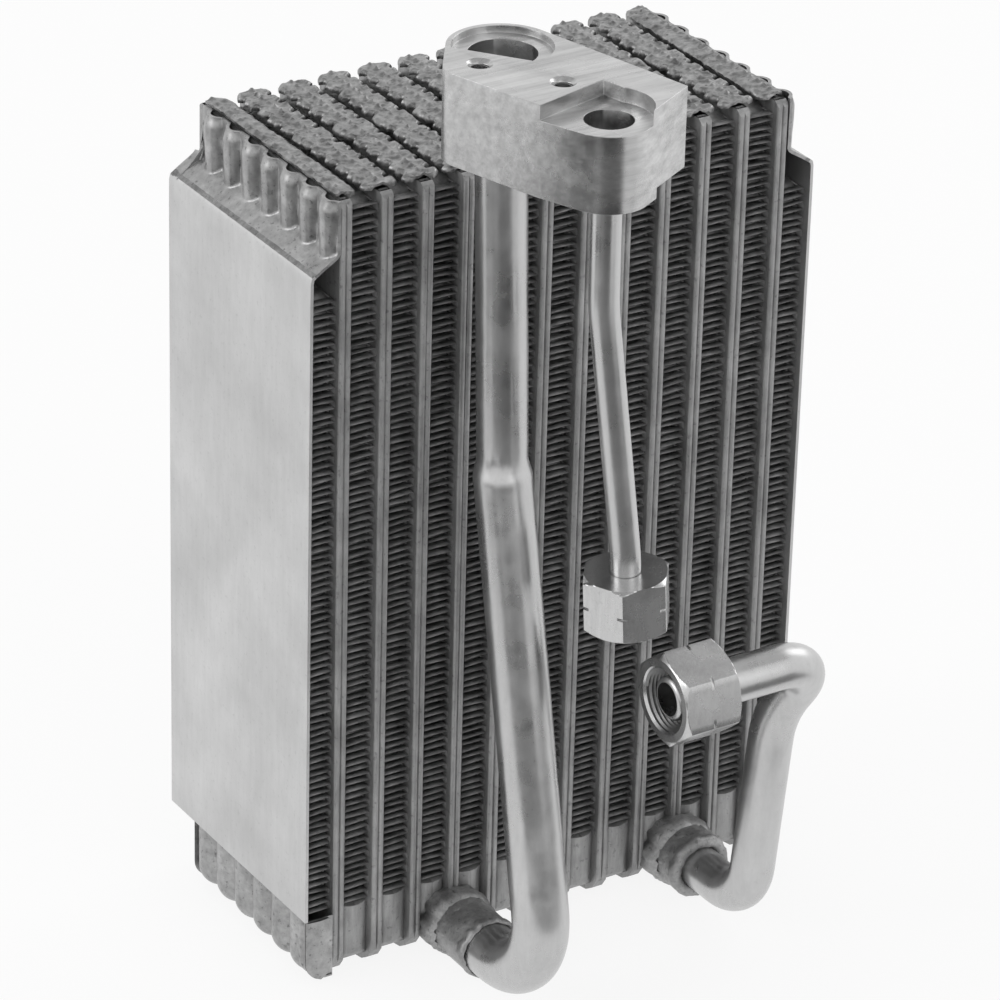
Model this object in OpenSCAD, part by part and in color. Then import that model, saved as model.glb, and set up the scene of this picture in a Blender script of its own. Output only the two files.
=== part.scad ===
// Stacked plate evaporator core with a two-port connector block and two pipes that end in loose nuts.
// Millimetres. The origin is the middle of the left end panel's outer face.
// +X runs along the stack of flat tubes, -Y is the side that the pipes leave from, and +Z is up.

/* [Core] */
// Number of flat tubes in the stack
tube_count = 12; // [10:1:16]
// Distance from one flat tube to the next
tube_pitch = 12.5; // [11.5:0.25:14]
// Thickness of one flat tube, made of two plates
tube_thickness = 3.6; // [3:0.1:4.2]
// Depth of the core from front rim to rear rim
core_depth = 77; // [66:1:100]
// Height of the core from rim foot to top shelf
core_height = 240; // [210:1:280]
// Distance from an end panel's outer face to the middle of the nearest flat tube
end_gap = 11; // [10:0.5:13]

/* [Stamped plates] */
// Sheet thickness of the stamped plates
plate_wall = 0.5; // [0.4:0.05:0.7]
// Depth of the solid rim at the front and rear of a plate
rim_depth = 2.8; // [2:0.1:4]
// Width of the rib that divides the way up from the way down
rib_width = 4; // [3:0.5:6]
// Height of the brazed band above the tube's channel
band_height = 9; // [6:0.5:14]
// Radius of the rounded foot corners of the rims
foot_radius = 9; // [3:0.5:9]
// Radius of the rounded top corners of the rims
brow_radius = 3; // [1:0.5:5]

/* [Tank cups] */
// Height of the tank cups
cup_height = 20; // [19:0.5:26]
// Rise of the cups' floor above the rim feet
cup_rise = 1.7; // [0.5:0.1:3]
// Distance from the rim's front to the cup's front wall beside the plate
cup_set_back = 3.6; // [3:0.1:6]
// How far the cup's front wall bulges at the middle of the gap
cup_bulge = 2.2; // [0.5:0.1:2.4]
// Space between the front cup and the rear cup
cup_spacing = 5; // [3:0.5:8]
// Radius of the cups' lower corners
cup_corner = 7.5; // [3:0.5:8]
// Radius of the port from one cup to the next
cup_port_radius = 6.5; // [4:0.5:7.5]

/* [Top shelf] */
// Thickness of the bent-over top flange
shelf_wall = 0.6; // [0.4:0.05:0.9]
// Distance from the rim's front to the shelf's end
shelf_set_back = 3.6; // [2:0.2:6]
// Gap between the shelves of neighbouring tubes
shelf_gap = 0.8; // [0.3:0.1:1.6]
// Corner radius of the shelf's ends
shelf_corner = 3.2; // [1:0.2:4.4]
// Distance from one edge notch to the next
notch_pitch = 6.3; // [5:0.1:8]
// Length of an edge notch
notch_length = 3.4; // [2:0.1:4]
// Depth of an edge notch
notch_depth = 1.2; // [0.6:0.1:1.8]
// Distance between the two notches beside the middle of the edge
notch_middle = 10.6; // [8:0.1:14]

/* [Fins] */
// Distance from one fin leaf to the next
fin_spacing = 2.1; // [1.8:0.1:4]
// Thickness of the fin strip
fin_wall = 0.25; // [0.15:0.05:0.4]
// Distance from the rim's front to the fins' edge
fin_set_back = 2.2; // [2:0.2:8]
// Clearance between the fin crests and the plates
fin_clearance = 0.05; // [0.02:0.01:0.2]

/* [End plates] */
// Sheet thickness of the end plates
end_wall = 1; // [0.8:0.1:1.4]
// Distance from the core's top to the flat panel's upper edge
panel_drop = 21; // [16:0.5:30]
// Rise of the sloped shoulder above the panel
shoulder_rise = 5; // [3:0.5:8]
// Radius of the bend between panel and shoulder
shoulder_bend = 3; // [1.5:0.5:4]
// Distance of the end plates' top below the core's top
flute_drop = 0.8; // [0.2:0.1:3]
// Number of upper flutes
flute_count = 7; // [5:1:8]
// Distance from one flute to the next
flute_pitch = 10.25; // [9:0.25:11]
// Radius of the upper flutes
flute_radius = 3.7; // [3:0.1:4.2]
// How far the upper flutes stand out of their wall
flute_proud = 2.9; // [1:0.1:3.4]
// Distance of the front flute from the core's front
flute_start = 4.3; // [3.8:0.1:6]
// Distance of the fluted wall's rear edge from the core's rear
flute_end = 4; // [0:0.5:8]
// Number of lower fingers
finger_count = 6; // [4:1:7]
// Distance from one finger to the next
finger_pitch = 10.5; // [10:0.1:11.2]
// Distance of the front finger from the core's front
finger_start = 7; // [6.5:0.1:8]
// Radius of the lower fingers
finger_radius = 6.4; // [5.9:0.1:6.8]
// How far the lower fingers lie inside the panel's face
finger_inset = 0.15; // [0.1:0.05:0.5]

/* [Connector block] */
// Height of the block
block_height = 25.5; // [20:0.5:32]
// Height of the block's foot above the core's top
block_lift = 16.3; // [8:0.1:30]
// Distance of the suction port in front of the core's front
block_reach = 16.5; // [15:0.5:24]
// Sideways shift of the suction port from its flat tube
block_shift = -1.5; // [-3:0.5:3]
// Turn of the block's long side away from square to the core
block_turn = 15; // [0:1:25]
// Outer radius of the block's suction end
suction_end_radius = 14.8; // [14:0.1:17]
// Outer radius of the block's liquid end
liquid_end_radius = 11.4; // [10:0.1:12]
// Distance of the liquid port along the block
liquid_port_along = 44.6; // [42:0.2:52]
// Sideways distance of the liquid port from the block's middle line
liquid_port_aside = -8.2; // [-10:0.2:-6]
// Radius of the suction port
suction_port_radius = 9.2; // [8:0.1:10]
// Depth of the suction port below its seat
suction_port_depth = 12; // [8:0.5:14]
// Radius of the seat round the suction port
suction_seat_radius = 13.4; // [12:0.1:13.6]
// Depth of the seat round the suction port
suction_seat_depth = 2; // [1:0.1:4]
// Distance from the suction port's middle to the flat edge of its seat
seat_flat_distance = 6.5; // [4:0.5:9]
// Turn of the seat's flat edge from the block's long side
seat_flat_turn = 23; // [0:1:35]
// Radius of the liquid port
liquid_port_radius = 6.5; // [4.5:0.1:7]
// Depth of the liquid port below its seat
liquid_port_depth = 10; // [6:0.5:12]
// Depth of the step at the block's liquid end
step_depth = 4.2; // [2:0.1:6]
// Distance of the step along the block
step_along = 33; // [31:0.5:35]
// Sideways limit of the step
step_aside = 2.4; // [0:0.2:3]
// Depth of the relief under the block's rear corner
relief_depth = 3; // [1:0.5:5]

/* [Block screws] */
// Radius of the two threaded screw holes
screw_hole_radius = 2.5; // [2:0.1:3]
// Depth of the screw holes
screw_hole_depth = 15; // [8:1:18]
// Radius of the countersink at the screw holes' mouth
countersink_radius = 3.6; // [3.2:0.1:4]
// Distance between the two screw holes
screw_spacing = 23.8; // [20:0.2:26]

/* [Suction pipe] */
// Flat tube that the suction pipe leaves from, counted from the left
suction_tube = 4; // [3:1:5]
// Outer radius of the pipe's lower stretch
suction_radius = 8; // [7:0.1:8.4]
// Outer radius of the pipe's upper stretch
suction_neck_radius = 7; // [6:0.1:7.4]
// Wall thickness of the pipe
suction_wall = 1.2; // [0.8:0.1:1.6]
// Height of the pipe's foot axis above the rim feet
suction_foot = 9; // [9:0.1:11]
// Reach of the pipe's foot bend in front of the core
suction_reach = 50; // [40:1:60]
// Radius of the foot bend
suction_bend = 22; // [18:1:26]
// Height of the neck below the core's top
neck_drop = 80; // [60:1:110]
// Distance of the neck in front of the core
neck_reach = 21; // [18:0.5:28]
// Radius of the bend at the neck
neck_bend = 30; // [20:1:60]
// Length of the taper above the neck
neck_taper = 5; // [2:0.5:10]
// Radius of the stub on the tank
suction_stub_radius = 9; // [8.8:0.1:9.4]
// Length of the stub in front of the core
suction_stub_length = 18; // [10:0.5:20]

/* [Inlet pipe] */
// Flat tube that the inlet pipe joins, counted from the left
inlet_tube = 10; // [9:1:10]
// Outer radius of the inlet pipe
inlet_radius = 6.35; // [5:0.05:7]
// Wall thickness of the inlet pipe
inlet_wall = 1.2; // [0.8:0.1:1.6]
// Height of the pipe's foot axis above the rim feet
inlet_foot = 10; // [10:0.1:12]
// Reach of the pipe's foot bend in front of the core
inlet_reach = 37; // [32:1:48]
// Radius of the foot bend
inlet_bend = 16; // [14:1:18]
// Height of the knee above the rim feet
knee_height = 78; // [60:1:84]
// Distance of the knee in front of the core
knee_reach = 46; // [42:1:54]
// Radius of the bend at the knee
knee_bend = 40; // [20:1:50]
// Sideways distance of the upper elbow from the flat tube
elbow_shift = 4.7; // [0:0.1:8]
// Radius of the upper elbow
elbow_bend = 13; // [12:0.5:14]
// Radius of the stub on the tank
inlet_stub_radius = 9.5; // [9:0.1:9.8]
// Length of the stub in front of the core
inlet_stub_length = 12; // [8:0.5:16]
// Radius of the pipe's bead inside the nut
inlet_bead_radius = 8; // [7.4:0.1:8.4]

/* [Liquid pipe] */
// Outer radius of the liquid pipe
liquid_radius = 4.1; // [3:0.05:4.3]
// Wall thickness of the liquid pipe
liquid_wall = 1; // [0.6:0.1:1.4]
// Depth of the first bend below the block's foot
liquid_drop = 31; // [20:1:45]
// Height of the second bend above the nut's mouth
liquid_knee = 21; // [18:0.5:30]
// Radius of both bends
liquid_bend = 60; // [40:5:80]
// Lean of the pipe's last stretch from upright
liquid_lean = 3.5; // [0:0.5:6]
// Radius of the pipe's bead inside the nut
liquid_bead_radius = 6.4; // [5.4:0.1:6.8]

/* [Valve space] */
// Distance of the two nuts' plane in front of the core
valve_reach = 60; // [58:0.5:64]
// Sideways place of the liquid nut's axis from the suction pipe's flat tube
valve_shift = 14.6; // [13:0.1:18]
// Height of the inlet nut's axis above the rim feet
valve_height = 101.5; // [96:0.5:106]
// Distance from the valve's middle to the inlet nut's mouth
inlet_nut_reach = 12.6; // [10:0.2:16]
// Distance from the valve's middle to the liquid nut's mouth
liquid_nut_reach = 27.3; // [22:0.1:32]

/* [Nuts] */
// Width across the flats of the liquid nut
liquid_nut_flats = 22; // [19:0.5:24]
// Length of the liquid nut
liquid_nut_length = 16; // [14:0.5:20]
// Radius of the liquid nut's thread
liquid_thread_radius = 7.3; // [7:0.05:8]
// Width across the flats of the inlet nut
inlet_nut_flats = 24; // [22:0.5:27]
// Length of the inlet nut
inlet_nut_length = 17.5; // [15:0.5:22]
// Radius of the inlet nut's thread
inlet_thread_radius = 8.75; // [8.5:0.05:9.5]
// Length of the threads
thread_length = 10.5; // [8:0.5:11]
// Clearance between each nut and its pipe
nut_clearance = 0.15; // [0.1:0.05:0.4]

/* [Hidden] */
$fn = 48;
arc_steps = 4;
over = 1;
wide = 100;
// Straight stretches reach this far into an elbow, which is drawn a little thinner by its bending
lap = 0.3;
bend_thinning = 0.03;
two = function(i) i < 10 ? str("0", i) : str(i);

bare = [0.80, 0.81, 0.82];
dull = [0.62, 0.63, 0.64];
dark = [0.38, 0.39, 0.40];
bright = [0.88, 0.89, 0.90];

front = -core_depth / 2;
foot = -core_height / 2;
top = core_height / 2;
half_pitch = tube_pitch / 2;
half_tube = tube_thickness / 2;
core_length = 2 * end_gap + (tube_count - 1) * tube_pitch;
function tube_x(i) = end_gap + (i - 1) * tube_pitch;

cup_floor = foot + cup_rise;
cup_roof = cup_floor + cup_height;
cup_middle = (cup_floor + cup_roof) / 2;
shelf_end = -front - shelf_set_back;
notches_a_side = floor((shelf_end - notch_middle / 2 - notch_length / 2) / notch_pitch) + 1;
seat_x = end_gap - half_tube;
panel_top = top - panel_drop;
end_top = top - flute_drop;

suction_x = tube_x(suction_tube);
inlet_x = tube_x(inlet_tube);
suction_z = foot + suction_foot;
inlet_z = foot + inlet_foot;
stub_seat = front + cup_set_back;

block_x = suction_x + block_shift;
block_y = front - block_reach;
block_foot = top + block_lift;
block_top = block_foot + block_height;
block_angle = block_turn - 90;
function on_block(along, aside) = [
    block_x + along * cos(block_angle) - aside * sin(block_angle),
    block_y + along * sin(block_angle) + aside * cos(block_angle)];
liquid_port = on_block(liquid_port_along, liquid_port_aside);
pipe_socket = 7;
socket_clearance = 0.05;
block_shoulder = [4, -15, 8];
step_corner_aside = -21.5;
rear_corner_along = 50.5;
relief_length = 6;
end_land = 0.2;
first_screw = [4.1, -13];
screw_turn = 16.6;
second_screw = first_screw + screw_spacing * [cos(screw_turn), sin(screw_turn)];

valve = [suction_x + valve_shift, front - valve_reach, foot + valve_height];
liquid_axis = [-sin(liquid_lean), 0, cos(liquid_lean)];
liquid_mouth = valve + [0, 0, liquid_nut_reach];
inlet_mouth = valve + [inlet_nut_reach, 0, 0];
inlet_tip_inset = 1.5;
liquid_tip_inset = 2.5;
bead_length = 3;
bead_gap = 0.25;
inlet_nose = 1.6;
liquid_nose = 1.2;
neck_shift = -1;
knee_shift = -0.5;
liquid_shift = 0.4;
liquid_nut_turn = 53;
inlet_nut_turn = 20;
mouth_cone = 1;

// Basic forms

function unit(v) = v / norm(v);
function side_of(z) = unit(cross(abs(z.z) < 0.9 ? [0, 0, 1] : [0, 1, 0], z));

module in_frame(origin, x, y, z) {
    multmatrix([
        [x.x, y.x, z.x, origin.x],
        [x.y, y.y, z.y, origin.y],
        [x.z, y.z, z.z, origin.z],
        [0, 0, 0, 1]]) children();
}

module on_axis(origin, z) {
    x = side_of(z);
    in_frame(origin, x, cross(z, x), z) children();
}

module along_x(from, to) {
    translate([from, 0, 0]) rotate([90, 0, 90]) linear_extrude(to - from) children();
}

module along_y(from, to) {
    translate([0, to, 0]) rotate([90, 0, 0]) linear_extrude(to - from) children();
}

module rectangle(x1, x2, y1, y2) {
    translate([x1, y1]) square([x2 - x1, y2 - y1]);
}

function arc(middle, radius, from, to) =
    [for (i = [0:arc_steps]) let (a = from + (to - from) * i / arc_steps)
        middle + radius * [cos(a), sin(a)]];

// Straight stretches and elbows through the given corners

function leg(points, i) = unit(points[i + 1] - points[i]);
function turn(points, i) = acos(leg(points, i - 1) * leg(points, i));
function trim(points, bends, i) =
    i == 0 || i == len(points) - 1 ? 0 : bends[i - 1] * tan(turn(points, i) / 2);

module pipe_run(points, bends, radius) {
    last = len(points) - 1;
    for (i = [0:last - 1]) {
        d = leg(points, i);
        start = points[i] + d * (trim(points, bends, i) - (i > 0 ? lap : 0));
        end = points[i + 1] - d * (trim(points, bends, i + 1) - (i + 1 < last ? lap : 0));
        on_axis(start, d) cylinder(h = norm(end - start), r = radius);
    }
    for (i = [1:last - 1]) {
        d = leg(points, i - 1);
        inward = unit(leg(points, i) - d * (d * leg(points, i)));
        middle = points[i] - d * trim(points, bends, i) + inward * bends[i - 1];
        in_frame(middle, -inward, d, cross(-inward, d))
            rotate_extrude(angle = turn(points, i))
                translate([bends[i - 1], 0]) circle(radius - bend_thinning);
    }
}

function stretched(points, by) = concat(
    [points[0] - leg(points, 0) * by],
    [for (i = [1:len(points) - 2]) points[i]],
    [points[len(points) - 1] + leg(points, len(points) - 2) * by]);

// Stamped plates

module plate_section() {
    rim = half_tube / 2;
    cavity = -front - rim_depth;
    groove = rib_width / 2 - plate_wall;
    difference() {
        union() {
            rectangle(0, half_tube, front + rim, -front - rim);
            for (y = [front + rim, -front - rim]) translate([rim, y]) circle(rim, $fn = 24);
        }
        for (side = [-1, 1])
            rectangle(-over, half_tube - plate_wall,
                min(side * rib_width / 2, side * cavity), max(side * rib_width / 2, side * cavity));
        rectangle(plate_wall, half_tube + over, -groove, groove);
    }
}

module rim_outline() {
    high = top - shelf_wall - over / 2;
    polygon(concat(
        arc([front + foot_radius, foot + foot_radius], foot_radius, 180, 270),
        arc([-front - foot_radius, foot + foot_radius], foot_radius, 270, 360),
        arc([-front - brow_radius, high - brow_radius], brow_radius, 0, 90),
        arc([front + brow_radius, high - brow_radius], brow_radius, 90, 180)));
}

module tube_wall() {
    intersection() {
        translate([0, 0, foot]) linear_extrude(core_height) plate_section();
        along_x(-over, half_tube + over) rim_outline();
    }
    translate([0, front + rim_depth, top - shelf_wall - band_height])
        cube([half_tube, core_depth - 2 * rim_depth, band_height - over]);
}

module shelf_plan(notched) {
    edge = half_pitch - shelf_gap / 2;
    difference() {
        polygon(concat(
            [[0, -shelf_end]],
            arc([edge - shelf_corner, shelf_corner - shelf_end], shelf_corner, -90, 0),
            arc([edge - shelf_corner, shelf_end - shelf_corner], shelf_corner, 0, 90),
            [[0, shelf_end]]));
        if (notched) for (side = [-1, 1]) for (k = [0:notches_a_side - 1])
            translate([edge, side * (notch_middle / 2 + k * notch_pitch)])
                square([2 * notch_depth, notch_length], center = true);
    }
}

module shelf_profile() {
    lip = 1.2;
    under = top - shelf_wall;
    polygon(concat(
        [[0, under - 2 * lip], [0, top], [half_pitch, top], [half_pitch, under]],
        arc([half_tube + lip, under - lip], lip, 90, 180),
        [[half_tube, under - 2 * lip]]));
}

module shelf(notched) {
    intersection() {
        along_y(front, -front) shelf_profile();
        translate([0, 0, foot]) linear_extrude(core_height + over) shelf_plan(notched);
    }
}

// A cup's outline seen from above, shrunk by a wall's thickness for its hollow
module cup_plan(inset) {
    near = front + cup_set_back + inset;
    chord = half_pitch - half_tube;
    bulge_radius = (chord * chord + cup_bulge * cup_bulge) / (2 * cup_bulge);
    intersection() {
        union() {
            rectangle(-over, half_pitch, near, -cup_spacing / 2 - inset);
            translate([half_pitch, near - cup_bulge + bulge_radius]) circle(bulge_radius);
        }
        rectangle(inset > 0 ? -over : half_tube / 2, half_pitch - inset, front, 0);
    }
}

module cup_side(inset) {
    low = cup_floor + inset;
    high = cup_roof - inset;
    near = front + cup_set_back - cup_bulge + inset;
    far = -cup_spacing / 2 - inset;
    corner = cup_corner - inset;
    polygon(concat(
        arc([near + corner, low + corner], corner, 180, 270),
        arc([far - corner, low + corner], corner, 270, 360),
        [[far, high], [near, high]]));
}

module cup(inset) {
    intersection() {
        translate([0, 0, foot]) linear_extrude(core_height) cup_plan(inset);
        along_x(-2 * over, half_pitch + over) cup_side(inset);
    }
}

module both_cups() {
    children();
    mirror([0, 1, 0]) children();
}

module cup_port(from, to) {
    middle = (front + cup_set_back - cup_spacing / 2) / 2;
    for (y = [middle, -middle])
        translate([from, y, cup_middle]) rotate([0, 90, 0]) cylinder(h = to - from, r = cup_port_radius);
}

// One plate of a pair, on the +X side of the joint plane
module plate(has_shelf, has_cups, notched) {
    difference() {
        union() {
            tube_wall();
            if (has_shelf) shelf(notched);
            if (has_cups) both_cups() cup(0);
        }
        if (has_cups) both_cups() cup(plate_wall);
        cup_port(-over, half_pitch + over);
    }
}

// Room for a stub on the front of a plate and of its neighbours, and the port that it feeds
module stub_cut(tubes_away, height, stub_radius, bore_radius) {
    if (abs(tubes_away) < 2) translate([tubes_away * tube_pitch, stub_seat, foot + height]) rotate([90, 0, 0])
        cylinder(h = rim_depth + 2 * cup_set_back, r = stub_radius + socket_clearance);
    if (tubes_away == 0) translate([0, stub_seat + cup_set_back, foot + height]) rotate([90, 0, 0])
        cylinder(h = 2 * cup_set_back, r = bore_radius);
}

module placed_plate(i, side) {
    outward = side == "right" ? 1 : -1;
    outer = (i == 1 && side == "left") || (i == tube_count && side == "right");
    color(dull) translate([tube_x(i), 0, 0]) difference() {
        mirror([outward < 0 ? 1 : 0, 0, 0]) plate(!outer, !outer, i > 1 && i < tube_count);
        stub_cut(suction_tube - i, suction_foot, suction_stub_radius, suction_radius - suction_wall);
        stub_cut(inlet_tube - i, inlet_foot, inlet_stub_radius, inlet_radius - inlet_wall);
    }
}

// Fins

// Level leaves joined by alternate bends, as one folded strip
module fin_strip(width, low, high) {
    folds = floor((high - low - fin_wall) / (2 * fin_spacing));
    crest = width / 2 - fin_clearance;
    inner = crest - fin_wall;
    function z(i) = low + i * fin_spacing;
    along_y(front + fin_set_back, -front - fin_set_back) polygon(concat(
        [for (k = [0:folds - 1]) each [
            [crest, z(2 * k)], [crest, z(2 * k + 1) + fin_wall],
            [-inner, z(2 * k + 1) + fin_wall], [-inner, z(2 * k + 2)]]],
        [[crest, z(2 * folds)], [crest, z(2 * folds) + fin_wall], [-crest, z(2 * folds) + fin_wall]],
        [for (k = [folds - 1:-1:0]) each [
            [-crest, z(2 * k + 1)], [inner, z(2 * k + 1)],
            [inner, z(2 * k) + fin_wall], [-crest, z(2 * k) + fin_wall]]],
        [[-crest, low]]));
}

module fin(i) {
    at_end = i == 1 || i == tube_count + 1;
    width = at_end ? seat_x - end_wall : tube_pitch - tube_thickness;
    x = i == 1 ? (end_wall + seat_x) / 2
        : i > tube_count ? core_length - (end_wall + seat_x) / 2
        : tube_x(i) - half_pitch;
    high = at_end ? panel_top - shoulder_bend : top - shelf_wall - fin_spacing;
    color(dark) translate([x, 0, 0])
        fin_strip(width, cup_roof + end_wall + fin_wall, high);
}

// End plates

module end_profile(inset) {
    wall_x = seat_x - end_wall;
    foot_z = cup_roof - over;
    slope = atan2(shoulder_rise, wall_x);
    bend = shoulder_bend - inset;
    polygon(concat(
        [[inset, inset > 0 ? foot_z - over : foot_z]],
        arc([inset + bend, panel_top - shoulder_bend], bend, 180, 90 + slope),
        [[wall_x + inset, panel_top + shoulder_rise - inset]],
        inset > 0 ? [[seat_x + over, panel_top + shoulder_rise - inset]]
            : [[wall_x, end_top], [seat_x, end_top]],
        [[inset > 0 ? seat_x + over : seat_x, inset > 0 ? foot_z - over : foot_z]]));
}

module flutes(inset) {
    for (k = [0:flute_count - 1])
        translate([seat_x - end_wall - flute_proud + flute_radius,
                   front + flute_start + k * flute_pitch,
                   panel_top - (inset > 0 ? 0 : over)])
            cylinder(h = end_top - panel_top + (inset > 0 ? 2 * over : over), r = flute_radius - inset);
}

// The rounded fingers that close the tank at the end of the stack
module fingers(inset) {
    radius = finger_radius - inset;
    for (k = [0:finger_count - 1])
        translate([finger_inset + finger_radius, front + finger_start + k * finger_pitch, 0]) {
            translate([0, 0, cup_floor + finger_radius])
                cylinder(h = cup_height - finger_radius - inset, r = radius);
            translate([0, 0, cup_floor + finger_radius]) sphere(radius);
        }
}

module end_tank(inset) {
    groove_depth = 2.8;
    body_rise = 1;
    face_depth = 1.8;
    near = front + end_land + inset;
    far = front + finger_start + (finger_count - 0.5) * finger_pitch - inset;
    intersection() {
        union() {
            fingers(inset);
            translate([groove_depth + inset, near, cup_floor + body_rise + inset])
                cube([seat_x, far - near, cup_height - body_rise - 2 * inset]);
            if (inset == 0) translate([finger_inset, near, cup_floor + cup_corner])
                cube([seat_x, face_depth, cup_height - cup_corner]);
        }
        translate([-over, 2 * front, 2 * foot])
            cube([(inset > 0 ? 2 * over : over) + seat_x, 2 * core_depth, 2 * core_height]);
    }
}

module end_plate() {
    color(bare) union() {
        difference() {
            union() {
                along_y(front, -front) end_profile(0);
                intersection() {
                    flutes(0);
                    translate([0, front, foot]) cube([seat_x, core_depth, core_height]);
                }
            }
            along_y(front - over, over - front) end_profile(end_wall);
            flutes(end_wall);
            translate([-over, -front - flute_end, panel_top + shoulder_rise - end_wall])
                cube([seat_x + 2 * over, wide, wide]);
        }
        difference() {
            end_tank(0);
            end_tank(end_wall);
        }
    }
}

// Tank stubs and pipes

module stub(x, z, radius, length, bore) {
    color(dull) translate([x, stub_seat, z]) rotate([90, 0, 0]) difference() {
        cylinder(h = length + cup_set_back, r = radius);
        translate([0, 0, -over]) cylinder(h = length + cup_set_back + 2 * over, r = bore);
    }
}

suction_neck = [suction_x + neck_shift, front - neck_reach, top - neck_drop];
suction_top = [block_x, block_y, block_foot + pipe_socket];
suction_points = [
    [suction_x, front, suction_z],
    [suction_x, front - suction_reach, suction_z],
    suction_neck,
    suction_neck + unit(suction_top - suction_neck) * 2 * neck_taper];

// The taper at the neck and the thinner stretch above it
module suction_upper(thinner, beyond) {
    up = unit(suction_top - suction_neck);
    taper_start = suction_points[3] - up * lap;
    taper_end = taper_start + up * neck_taper;
    on_axis(taper_start, up) cylinder(h = neck_taper,
        r1 = suction_radius - bend_thinning - thinner, r2 = suction_neck_radius + bend_thinning - thinner);
    on_axis(taper_end - up * lap, up) cylinder(h = norm(suction_top - taper_end) + lap + beyond,
        r = suction_neck_radius - thinner);
}

module suction_pipe() {
    bends = [suction_bend, neck_bend];
    bore_points = concat([suction_points[0] + [0, over, 0]], [for (i = [1:3]) suction_points[i]]);
    color(bare) difference() {
        union() {
            pipe_run(suction_points, bends, suction_radius);
            suction_upper(0, 0);
        }
        pipe_run(bore_points, bends, suction_radius - suction_wall);
        suction_upper(suction_wall, over);
    }
}

inlet_tip = inlet_mouth + [inlet_tip_inset, 0, 0];
inlet_points = [
    [inlet_x, front, inlet_z],
    [inlet_x, front - inlet_reach, inlet_z],
    [inlet_x + knee_shift, front - knee_reach, foot + knee_height],
    [inlet_x + elbow_shift, valve.y, valve.z],
    inlet_tip];

// The bead and the rounded nose on a pipe's end, inside its nut
module pipe_nose(radius, bead_radius, bead_at, nose) {
    rotate_extrude() polygon(concat(
        [[0, nose]],
        arc([radius - nose, nose], nose, -90, 0),
        [[radius, bead_at - bead_length], [bead_radius, bead_at - bead_length],
         [bead_radius, bead_at], [0, bead_at]]));
}

module inlet_pipe() {
    bead_at = thread_length - inlet_tip_inset - bead_gap;
    color(bare) difference() {
        union() {
            pipe_run(concat([for (i = [0:3]) inlet_points[i]],
                [inlet_tip + [bead_at - over, 0, 0]]), [inlet_bend, knee_bend, elbow_bend], inlet_radius);
            on_axis(inlet_tip, [1, 0, 0]) pipe_nose(inlet_radius, inlet_bead_radius, bead_at, inlet_nose);
        }
        pipe_run(stretched(inlet_points, over), [inlet_bend, knee_bend, elbow_bend],
            inlet_radius - inlet_wall);
    }
}

liquid_tip = liquid_mouth + liquid_axis * liquid_tip_inset;
liquid_points = [
    [liquid_port.x, liquid_port.y, block_foot + pipe_socket],
    [liquid_port.x + liquid_shift, liquid_port.y, block_foot - liquid_drop],
    liquid_mouth + liquid_axis * liquid_knee,
    liquid_tip];

module liquid_pipe() {
    bead_at = thread_length - liquid_tip_inset - bead_gap;
    color(bare) difference() {
        union() {
            pipe_run(concat([for (i = [0:2]) liquid_points[i]],
                [liquid_tip + liquid_axis * (bead_at - over)]), [liquid_bend, liquid_bend], liquid_radius);
            on_axis(liquid_tip, liquid_axis)
                pipe_nose(liquid_radius, liquid_bead_radius, bead_at, liquid_nose);
        }
        pipe_run(stretched(liquid_points, over), [liquid_bend, liquid_bend], liquid_radius - liquid_wall);
    }
}

// Connector block

function belt_normal(a, b) =
    let (d = [b.x - a.x, b.y - a.y], l = norm(d), s = (a[2] - b[2]) / l)
    [d.y, -d.x] / l * sqrt(1 - s * s) + d / l * s;

// The outline of a belt drawn round discs, each given as [x, y, radius] in turn
module belt(discs) {
    count = len(discs);
    polygon([for (i = [0:count - 1]) let (a = discs[i], b = discs[(i + 1) % count], n = belt_normal(a, b))
        each [[a.x, a.y] + a[2] * n, [b.x, b.y] + b[2] * n]]);
    for (d = discs) if (d[2] > 0.1) translate([d.x, d.y]) circle(d[2], $fn = 72);
}

module block_outline() {
    belt([
        [0, 0, suction_end_radius],
        block_shoulder,
        [step_along, step_corner_aside, 0],
        [liquid_port_along, liquid_port_aside, liquid_end_radius],
        [rear_corner_along, suction_end_radius, 0]]);
}

module screw_hole(at) {
    translate([at.x, at.y, block_height - screw_hole_depth]) cylinder(h = screw_hole_depth + over,
        r = screw_hole_radius);
    rise = countersink_radius - screw_hole_radius;
    translate([at.x, at.y, block_height - rise]) cylinder(h = 2 * rise,
        r1 = screw_hole_radius, r2 = screw_hole_radius + 2 * rise);
}

module suction_seat() {
    difference() {
        cylinder(h = suction_seat_depth + over, r = suction_seat_radius);
        rotate(seat_flat_turn) translate([-wide / 2, -wide - seat_flat_distance, -over])
            cube([wide, wide, suction_seat_depth + 3 * over]);
    }
}

// The hole that a pipe's end sits in, along the pipe
module pipe_hole(points, radius) {
    last = len(points) - 1;
    back = unit(points[last - 1] - points[last]);
    on_axis(points[last], back) cylinder(h = 2 * pipe_socket, r = radius + socket_clearance);
}

module connector_block() {
    color(bright) difference() {
        translate([block_x, block_y, block_foot]) rotate(block_angle) block_body();
        pipe_hole([suction_neck, suction_top], suction_neck_radius);
        pipe_hole([liquid_points[1], liquid_points[0]], liquid_radius);
    }
}

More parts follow.
